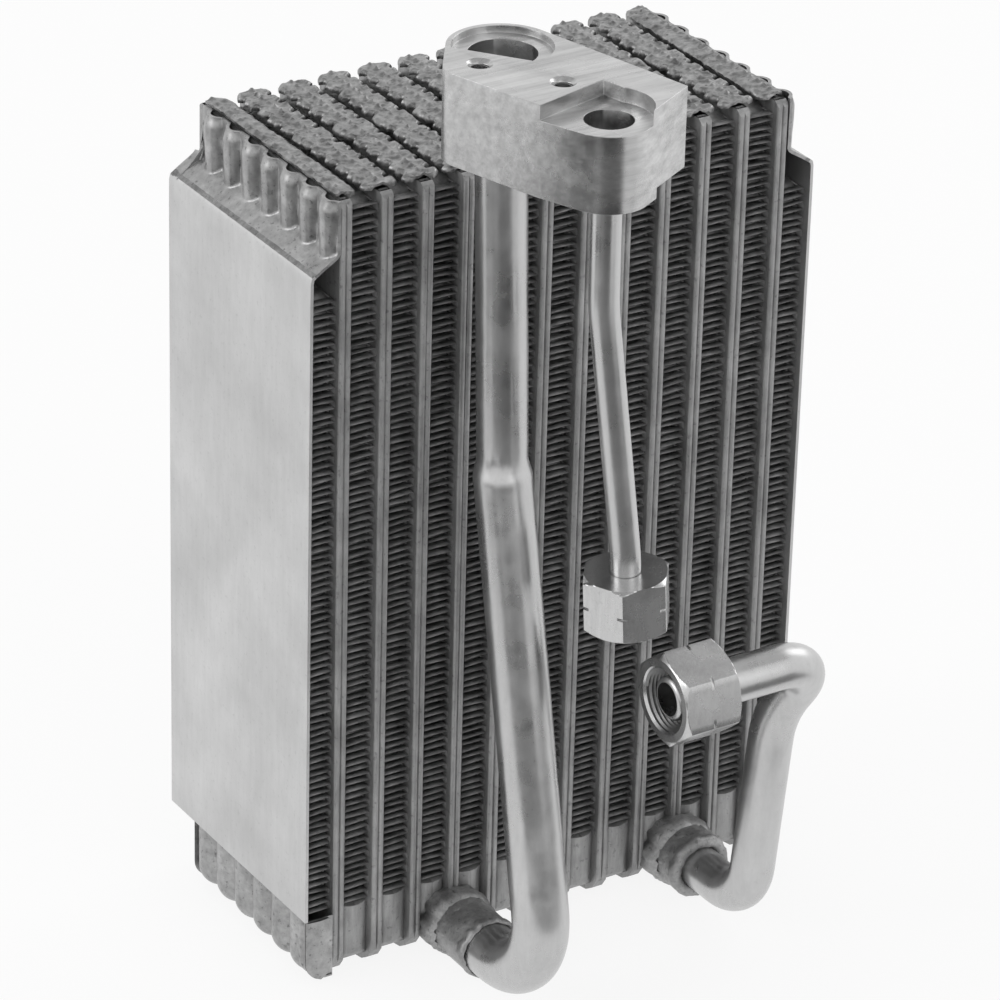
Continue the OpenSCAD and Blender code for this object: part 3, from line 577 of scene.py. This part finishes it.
# A path of straight stretches and bends, as points with their directions
def roundedPath(corners, bends, step):
    points = [Vector(p) for p in corners]
    legs = [(b - a).normalized() for a, b in zip(points, points[1:])]
    path = []

    def straight(a, b):
        count = max(1, int((b - a).length / step))
        path.extend((a.lerp(b, k / count), (b - a).normalized()) for k in range(count))

    last = points[0]
    for i, radius in enumerate(bends, 1):
        before, after = legs[i - 1], legs[i]
        turn = before.angle(after)
        trim = radius * math.tan(turn / 2)
        start = points[i] - before * trim
        straight(last, start)
        inward = (after - before * before.dot(after)).normalized()
        middle = start + inward * radius
        count = max(3, int(radius * turn / step))
        for k in range(count):
            a = turn * k / count
            path.append((middle - inward * radius * math.cos(a) + before * radius * math.sin(a),
                         before * math.cos(a) + inward * math.sin(a)))
        last = points[i] + after * trim
    straight(last, points[-1])
    path.append((points[-1], legs[-1]))
    return path


# A circle of corners in order, and the edges between them
def startRing(bm, around):
    verts = bmesh.ops.create_circle(bm, segments=around, radius=1, cap_ends=False)["verts"]
    return verts, list({e for v in verts for e in v.link_edges})


# A ring drawn out to a next one: the new corners and edges
def nextRing(bm, ring):
    made = bmesh.ops.extrude_edge_only(bm, edges=ring)["geom"]
    verts = vertsIn(made)
    edges = [g for g in made if isinstance(g, bmesh.types.BMEdge)]
    return verts, [e for e in edges if all(v in verts for v in e.verts)]


# A ring drawn out along stations of a point, a direction and a radius
def drawnPipe(bm, stations, around):
    def placed(point, along, aside, radius):
        across = along.cross(aside).normalized()
        turned = Matrix((aside, across, along)).transposed().to_4x4()
        return Matrix.Translation(point) @ turned @ Matrix.Diagonal((radius, radius, 1, 1))

    point, along, radius = stations[0]
    aside = along.orthogonal().normalized()
    verts, ring = startRing(bm, around)
    now = placed(point, along, aside, radius)
    bmesh.ops.transform(bm, matrix=now, verts=verts)
    for point, along, radius in stations[1:]:
        aside = (aside - along * aside.dot(along)).normalized()
        verts, ring = nextRing(bm, ring)
        after = placed(point, along, aside, radius)
        bmesh.ops.transform(bm, matrix=after @ now.inverted(), verts=verts)
        now = after


# Stations for an open end: along the path and its bead, round the nose and back in the bore
def openEnd(path, s):
    tip, along = path[-1]
    start, end, crest = s["bead"]
    middle, half = (start + end) / 2, (end - start) / 2
    stations = []
    for point, direction in path:
        back = (point - tip).length
        lastLeg = direction.dot(along) > mouth["sameWay"]
        radius = s["radius"]
        if lastLeg and start < back < end:
            radius += (crest - radius) * math.sqrt(max(0, 1 - ((back - middle) / half) ** 2))
        if back > s["nose"] or not lastLeg:
            stations.append((point, direction, radius))
    for k in range(1, mouth["noseSteps"] + 1):
        a = math.pi / 2 * k / mouth["noseSteps"]
        stations.append((tip - along * s["nose"] * (1 - math.sin(a)), along,
                         s["radius"] - s["nose"] * (1 - math.cos(a))))
    bore = s["radius"] - s["wall"]
    stations.append((tip - along * mouth["rim"], along, bore))
    for k in range(1, mouth["boreSteps"] + 1):
        stations.append((tip - along * mouth["deep"] * k / mouth["boreSteps"], along, bore))
    return stations


# A drawn tube's surface wavers a little sideways
def waver(bm, amount, wave):
    for v in bm.verts:
        x, y, z = v.co
        v.co += amount * Vector((wobble(x, y, z, wave), wobble(x + 90, y, z, wave), 0))


# Pipes. A waist is its height over the neck, half its height and its depth; a dent is its place
# across, its height and length and, at the neck, its width and depth
mouth = dict(noseSteps=6, rim=0.25, deep=14, boreSteps=4, sameWay=0.99)
suction = dict(corners=[(48.5, -34.9, -111), (48.5, -88.5, -111), (47.5, -59.5, 40),
                        (47, -55, 143.3)],
               bends=[22, 30], radius=8, around=48, step=1.6, unevenness=0.05, wave=7,
               neck=(47.5, -59.5, 40), neckRadius=7, taper=(-1, 7), neckLean=0.1,
               waists=((4, 3.0, 0.25), (-0.5, 1.5, -0.12)), seenFrom=(-0.54, -0.84, 0),
               neckDents=((-1.6, 5.5, 2.6, 0.7, 0.45), (1.4, 6.5, 2.2, 0.6, 0.3),
                          (4.0, 3.4, 1.0, 0.8, 0.4)),
               footDents=((-3.2, -74, 5), (0.6, -75, 5), (-2.8, -58, 4), (1.2, -58, 4)),
               foot=(48.5, -78.2, -70), footLean=0.19, footWidth=0.8, footDepth=0.4,
               sunk=0.4, nearWall=3, through=6, farShare=0.3)
inlet = dict(corners=[(123.5, -34.9, -110), (123.5, -75.5, -110), (123, -84.5, -42),
                      (128.2, -98.5, -18.5), (77.2, -98.5, -18.5)],
             bends=[16, 40, 13], radius=6.35, wall=1.2, nose=1.6, bead=(4.8, 9.2, 8.0),
             around=44, step=1.5, unevenness=0.03, wave=6)
liquid = dict(corners=[(50.6224, -100.2028, 143.3), (51.0224, -100.2028, 105.3),
                       (61.818, -98.5, 29.761), (62.9474, -98.5, 11.295)],
              bends=[60, 60], radius=4.1, wall=1.0, nose=1.2, bead=(5.4, 8.2, 6.4),
              around=36, step=1.5, unevenness=0.03, wave=6)


# A dent pushes the suction pipe's wall in round a point, drawn out along one direction
def dent(bm, at, along, length, width, depth, toward):
    for v in bm.verts:
        off = v.co - at
        run, deep = off.dot(along), -off.dot(toward)
        side = (off - along * run + toward * deep).length
        if deep < suction["through"]:
            share = 1 if deep < suction["nearWall"] else suction["farShare"]
            v.co -= toward * depth * share * bell(run, length) * bell(side, width)


# The thick pipe, narrower above its neck, with a few dents there and near its foot
def suctionPipe():
    s = suction
    neck = Vector(s["neck"])
    stations = []
    for point, along in roundedPath(s["corners"], s["bends"], s["step"]):
        over = point.z - neck.z
        radius = s["radius"] - (s["radius"] - s["neckRadius"]) * ease(*s["taper"], over)
        radius -= sum(depth * bell(over - at, half) for at, half, depth in s["waists"])
        stations.append((point, along, radius))
    bm = bmesh.new()
    drawnPipe(bm, stations, s["around"])
    seen = Vector(s["seenFrom"])
    toward = seen.normalized()
    up = Vector((0, s["neckLean"], 1)).normalized()
    aside = seen.cross(up).normalized()
    for across, high, length, width, depth in s["neckDents"]:
        place = neck + up * high + seen * (s["neckRadius"] - s["sunk"]) - aside * across
        dent(bm, place, up, length, width, depth, toward)
    x, y, z = s["foot"]
    along = Vector((0, s["footLean"], 1)).normalized()
    for across, high, length in s["footDents"]:
        place = Vector((x, y + (high - z) * s["footLean"], high))
        place += seen * (s["radius"] - s["sunk"]) - aside * across
        dent(bm, place, along, length, s["footWidth"], s["footDepth"], toward)
    waver(bm, s["unevenness"], s["wave"])
    newPiece("suction_tube", bm, "pipes", smooth=60, replaces=("suction_pipe",))


# A thinner pipe that ends in a bead and a rounded nose
def nosedPipe(name, s, replaced):
    bm = bmesh.new()
    path = roundedPath(s["corners"], s["bends"], s["step"])
    drawnPipe(bm, openEnd(path, s), s["around"])
    waver(bm, s["unevenness"], s["wave"])
    newPiece(name, bm, "pipes", smooth=60, replaces=(replaced,))


suctionPipe()
nosedPipe("inlet_tube", inlet, "inlet_pipe")
nosedPipe("liquid_tube", liquid, "liquid_pipe")
print("pipes made")

# Stubs: a rough brazed fillet of two rings at the tank and a bead where each pipe enters
stubs = dict(suction=dict(at=(48.5, -111), radius=9.0, end=-56.5, pipe=8.0, beadLong=1.8),
             inlet=dict(at=(123.5, -110), radius=9.5, end=-50.5, pipe=6.35, beadLong=2.3))
braze = dict(sides=10, around=72, lumps=3, lumpSize=0.8, fineSize=1.1, lengthwise=0.5,
             overFloor=0.1, fillet=(dict(ahead=1.2, inside=0.4, thick=1.9, long=4.6, rough=1.3),
                                    dict(ahead=7.0, inside=0.9, thick=1.0, long=3.0, rough=0.9)),
             beadOver=0.3, beadRough=0.5)


# A rough ring of filler round a stub's axis
def beadRing(bm, x, y, z, radius, thick, long, rough):
    s = braze
    verts, edges = startRing(bm, s["sides"])
    bmesh.ops.scale(bm, verts=verts, vec=(thick, long, 1))
    bmesh.ops.translate(bm, verts=verts, vec=(radius, y, 0))
    bmesh.ops.spin(bm, geom=verts + edges, cent=(0, 0, 0), axis=(0, 1, 0), dvec=(0, 0, 0),
                   angle=2 * math.pi, steps=s["around"], use_merge=True, use_duplicate=False)
    for v in bm.verts:
        if v.tag:  # of an earlier ring, in place already
            continue
        v.tag = True
        a = math.atan2(v.co.z, v.co.x)
        push = wobble(s["lumps"] * math.cos(a), s["lumps"] * math.sin(a), y, s["lumpSize"])
        push = rough * (push + 0.5 * wobble(v.co.x, v.co.y, v.co.z, s["fineSize"]))
        r = math.hypot(v.co.x, v.co.z)
        grow = (r + push) / r
        v.co = (x + v.co.x * grow, v.co.y + s["lengthwise"] * push,
                max(z + v.co.z * grow, core["foot"] + s["overFloor"]))


for kind, s in stubs.items():
    x, z = s["at"]
    bm = bmesh.new()
    for ring in braze["fillet"]:
        beadRing(bm, x, core["front"] - ring["ahead"], z, s["radius"] - ring["inside"],
                 ring["thick"], ring["long"], ring["rough"])
    beadRing(bm, x, s["end"], z, (s["radius"] + s["pipe"]) / 2,
             (s["radius"] - s["pipe"]) / 2 + braze["beadOver"], s["beadLong"], braze["beadRough"])
    newPiece(kind + "_braze", bm, "stubs", smooth=60)
print("brazed joints made")

# Block: the CAD node with its flat faces joined and its edges broken, and threads for screws
block = dict(edge=0.35, sharp=32, flat=1.5, at=(47.0, -55.0), angle=-75.0, threadFoot=148.8,
             threadRadius=2.9, threadLength=12.2, screws=((4.1, -13.0), (26.908, -6.201)))
thread = dict(pitch=1.2, depth=0.6, beyond=0.1, halfFlank=0.48, steps=32)


# A ridge that winds along a bore
def threadIn(name, origin, along, radius, length, body):
    s = thread
    bm = bmesh.new()
    root, flank = radius + s["beyond"], s["halfFlank"] * s["pitch"]
    profile = [bm.verts.new(p) for p in ((root, 0, -flank), (radius - s["depth"], 0, 0),
                                         (root, 0, flank))]
    edges = [bm.edges.new(pair) for pair in zip(profile, profile[1:])]
    turns = length / s["pitch"]
    steps = int(turns * s["steps"])
    bmesh.ops.spin(bm, geom=profile + edges, cent=(0, 0, 0), axis=(0, 0, 1),
                   dvec=(0, 0, length / steps), angle=2 * math.pi * turns, steps=steps,
                   use_duplicate=False)
    turned = Vector(along).normalized().to_track_quat("Z", "Y").to_matrix()
    bmesh.ops.rotate(bm, verts=bm.verts, cent=(0, 0, 0), matrix=turned)
    bmesh.ops.translate(bm, verts=bm.verts, vec=origin)
    # Threads take the dark thread metal, painted shade inside the bore
    newPiece(name, bm, "threads", body=body, smooth=25, turnOut=False)


def portBlock():
    s = block
    bm = bmesh.new()
    bm.from_mesh(nodes["connector_block"].data)
    bmesh.ops.remove_doubles(bm, verts=bm.verts, dist=weld * mm)
    bmesh.ops.dissolve_limit(bm, verts=bm.verts, edges=bm.edges,
                             angle_limit=math.radians(s["flat"]))
    piece = placePiece("port_block", bm, "block", "core", s["sharp"], ("connector_block",))
    breakEdges(piece, "edges", s["edge"], s["sharp"])
    x, y = s["at"]
    c, d = math.cos(math.radians(s["angle"])), math.sin(math.radians(s["angle"]))
    for number, (u, v) in enumerate(s["screws"], 1):
        place = (x + u * c - v * d, y + u * d + v * c, s["threadFoot"])
        threadIn(f"screw_thread_{number}", place, (0, 0, 1), s["threadRadius"],
                 s["threadLength"], "core")


portBlock()

# Nuts: a hexagon cut back by a cone at each end, with a mark across each corner
nutShape = dict(around=96, mouthLand=0.35, backLand=-0.2, slope=1.73, cornerOff=0.12, mark=0.8,
                rims=(0, 0.2, 0.35, 0.5, 0.65, 0.8, 1.0, 1.2, 1.4), sharp=24,
                markRims=(-0.45, -0.38, 0.38, 0.45), threadLength=10.5, threadRoom=0.3,
                threadInset=0.9, flare=0.6, flareDeep=0.7, nearBore=0.05)
unionNuts = dict(
    liquid=dict(mouth=(63.1, -98.5, 8.8), along=(-0.06105, 0, 0.99813), side=(0.99813, 0, 0.06105),
                flats=22, length=16, thread=7.3, pipe=4.25, turn=53),
    inlet=dict(mouth=(75.7, -98.5, -18.5), along=(1, 0, 0), side=(0, 1, 0), flats=24,
               length=17.5, thread=8.75, pipe=6.5, turn=20))


# One closed shell from rings: the outside, the back's hole, the bore and the flared mouth
def unionNut(kind):
    s, n = nutShape, unionNuts[kind]
    half, corner, long = n["flats"] / 2, n["flats"] / math.sqrt(3), n["length"]
    bore, start = n["thread"] + s["threadRoom"], math.radians(n["turn"])
    angles = [start + 2 * math.pi * k / s["around"] for k in range(s["around"])]

    def outer(z, a):
        hexagon = half / math.cos((a - start) % (math.pi / 3) - math.pi / 6)
        marked = abs(z - long / 2) < s["mark"] / 2
        return min(hexagon, corner - (s["mark"] if marked else s["cornerOff"]),
                   half - s["mouthLand"] + s["slope"] * z,
                   half - s["backLand"] + s["slope"] * (long - z))

    heights = [*s["rims"], *(long / 2 + z for z in s["markRims"]),
               *(long - z for z in reversed(s["rims"]))]
    rings = [(z, [outer(z, a) for a in angles]) for z in heights]
    rings += [(z, [radius] * s["around"]) for z, radius in (
        (long, n["pipe"]), (s["threadLength"], n["pipe"]), (s["threadLength"], bore),
        (s["flareDeep"], bore), (0, bore + s["flare"]))]
    rings.append(rings[0])
    bm = bmesh.new()
    verts, ring = startRing(bm, s["around"])
    placeOf = {v: k for k, v in enumerate(verts)}
    for number, (z, radii) in enumerate(rings):
        if number:
            fresh, ring = nextRing(bm, ring)
            placeOf = {v: next(placeOf[e.other_vert(v)] for e in v.link_edges
                               if e.other_vert(v) in placeOf) for v in fresh}
        for v, k in placeOf.items():
            v.co = (radii[k] * math.cos(angles[k]), radii[k] * math.sin(angles[k]), z)
    # Faces of the bore take the dark thread metal, painted shade inside the nut
    for f in bm.faces:
        farthest = max(math.hypot(v.co.x, v.co.y) for v in f.verts)
        f.material_index = int(farthest < bore + s["nearBore"])
    along, side = Vector(n["along"]), Vector(n["side"])
    turned = Matrix((side, along.cross(side), along)).transposed()
    bmesh.ops.rotate(bm, verts=bm.verts, cent=(0, 0, 0), matrix=turned)
    bmesh.ops.translate(bm, verts=bm.verts, vec=n["mouth"])
    piece = newPiece(kind + "_union_nut", bm, "nuts", body=kind + "_nut", smooth=s["sharp"],
                     replaces=(kind + "_nut",))
    piece.data.materials.append(metals["threads"])
    threadIn(kind + "_nut_threads", Vector(n["mouth"]) + along * s["threadInset"], along, bore,
             s["threadLength"] - 2 * s["threadInset"], kind + "_nut")


unionNut("liquid")
unionNut("inlet")
print("block and nuts made")

# Camera, as fitted to the photo
shot = dict(eye=(-0.64633, -1.15053, 0.7052), azimuth=32.434, elevation=27.512, roll=1.534,
            lens=196.09, sensor=36, near=0.05, far=50)
a, e, r = (math.radians(shot[k]) for k in ("azimuth", "elevation", "roll"))
level = Vector((math.cos(a), -math.sin(a), 0))
forward = Vector((math.sin(a) * math.cos(e), math.cos(a) * math.cos(e), -math.sin(e)))
upright = level.cross(forward)
right = math.cos(r) * level + math.sin(r) * upright
up = math.cos(r) * upright - math.sin(r) * level
camData = bpy.data.cameras.new("camera")
camData.sensor_width = shot["sensor"]
camData.lens = shot["lens"]
camData.clip_start, camData.clip_end = shot["near"], shot["far"]
camera = bpy.data.objects.new("camera", camData)
camera.matrix_world = Matrix((right, up, -forward)).transposed().to_4x4()
camera.location = shot["eye"]
bpy.context.collection.objects.link(camera)
bpy.context.scene.camera = camera

# Studio, in metres and watts: a white floor and room, and four lamps turned to the core
studio = dict(floorHalf=6.0, floorColour=0.9, floorRoughness=0.9, floorWhite=0.88, ambient=0.6,
              aim=(0.08, -0.02, 0), flagLift=0.0005)
lamps = dict(key=dict(place=(-1.5, 0.4, 0.9), size=(1.0, 1.4), watts=9),
             fill=dict(place=(0.4, -1.8, 0.9), size=(1.2, 1.0), watts=3),
             rim=dict(place=(1.5, 0.2, 1.0), size=(0.8, 1.2), watts=4),
             top=dict(place=(0.1, 0.6, 1.7), size=(1.4, 1.4), watts=4))
floorZ = core["foot"] * mm


# The camera and reflections see a share of the plain shade, all other light sees the surface
def whiteForCamera(tree, surface, shade, output, amount):
    path = tree.nodes.new("ShaderNodeLightPath")
    seen = path.outputs["Is Camera Ray"]
    for ray in ("Is Glossy Ray", "Is Transmission Ray"):
        either = tree.nodes.new("ShaderNodeMath")
        either.operation = "MAXIMUM"
        tree.links.new(seen, either.inputs[0])
        tree.links.new(path.outputs[ray], either.inputs[1])
        seen = either.outputs["Value"]
    part = tree.nodes.new("ShaderNodeMath")
    part.operation = "MULTIPLY"
    part.inputs[1].default_value = amount
    tree.links.new(seen, part.inputs[0])
    mix = tree.nodes.new("ShaderNodeMixShader")
    tree.links.new(part.outputs["Value"], mix.inputs["Fac"])
    tree.links.new(surface, mix.inputs[1])
    tree.links.new(shade, mix.inputs[2])
    tree.links.new(mix.outputs["Shader"], output)


# A plain white glow, whatever light falls on the surface
def glowIn(tree, strength):
    glow = tree.nodes.new("ShaderNodeEmission")
    glow.inputs["Color"].default_value = (1, 1, 1, 1)
    glow.inputs["Strength"].default_value = strength
    return glow.outputs["Emission"]


# A flat sheet of the studio; one that only reflections see is hidden from everything else
def stageSheet(name, corners, height, material, onlyReflected):
    bm = bmesh.new()
    for v, (x, y) in zip(grid(bm, 1, 1), corners):
        v.co = (x, y, height)
    mesh = bpy.data.meshes.new(name)
    bm.to_mesh(mesh)
    bm.free()
    mesh.materials.append(material)
    sheet = bpy.data.objects.new(name, mesh)
    bpy.context.collection.objects.link(sheet)
    if onlyReflected:
        sheet.visible_camera = sheet.visible_diffuse = sheet.visible_shadow = False


floorMat = bpy.data.materials.new("floor")
floorMat.use_nodes = True
tree = floorMat.node_tree
paper = tree.nodes["Principled BSDF"]
paper.inputs["Base Color"].default_value = (*[studio["floorColour"]] * 3, 1)
paper.inputs["Roughness"].default_value = studio["floorRoughness"]
whiteForCamera(tree, paper.outputs["BSDF"], glowIn(tree, 1.0),
               tree.nodes["Material Output"].inputs["Surface"], studio["floorWhite"])
far = studio["floorHalf"]
stageSheet("floor", ((-far, -far), (far, -far), (-far, far), (far, far)), floorZ, floorMat, False)

world = bpy.data.worlds.new("studio")
bpy.context.scene.world = world
world.use_nodes = True
tree = world.node_tree
room = tree.nodes["Background"]
plain = tree.nodes.new("ShaderNodeBackground")
for shade, strength in ((room, studio["ambient"]), (plain, 1.0)):
    shade.inputs["Color"].default_value = (1, 1, 1, 1)
    shade.inputs["Strength"].default_value = strength
whiteForCamera(tree, room.outputs["Background"], plain.outputs["Background"],
               tree.nodes["World Output"].inputs["Surface"], 1.0)

for name, s in lamps.items():
    data = bpy.data.lights.new(name, "AREA")
    data.shape = "RECTANGLE"
    data.size, data.size_y = s["size"]
    data.energy = s["watts"]
    lamp = bpy.data.objects.new(name, data)
    lamp.location = s["place"]
    aim = Vector(studio["aim"]) - Vector(s["place"])
    lamp.rotation_euler = aim.to_track_quat("-Z", "Y").to_euler()
    bpy.context.collection.objects.link(lamp)

# Flags that only reflections see, glowing sheets that paint reflections: dark ones lie in front, so
# that round metal has a dark middle, with a bright one at the right and a grey one overhead
flags = dict(
    side=dict(grey=0.03, corners=((-0.9, -0.5), (-0.6, -0.5), (-0.9, 0.06), (-0.33, 0.06))),
    near=dict(grey=0.2, corners=((-0.6, -0.5), (0.42, -0.5), (-0.441, -0.17), (0.26, -0.17))),
    far=dict(grey=0.02, corners=((-0.8, -1.3), (0.15, -1.3), (-0.6, -0.5), (0.12, -0.5))),
    right=dict(grey=0.95, corners=((0.15, -1.3), (0.9, -1.3), (0.12, -0.5), (0.6, -0.5))),
    over=dict(grey=0.5, corners=((-0.9, -0.6), (0.9, -0.6), (-0.9, 0.7), (0.9, 0.7)), high=0.9))
for name, s in flags.items():
    flagMat = bpy.data.materials.new(name + "_flag")
    flagMat.use_nodes = True
    tree = flagMat.node_tree
    tree.links.new(glowIn(tree, s["grey"]), tree.nodes["Material Output"].inputs["Surface"])
    stageSheet(name + "_flag", s["corners"], s.get("high", floorZ + studio["flagLift"]), flagMat,
               True)
bpy.context.scene.view_settings.view_transform = "Standard"
print("stage, light and camera in place")
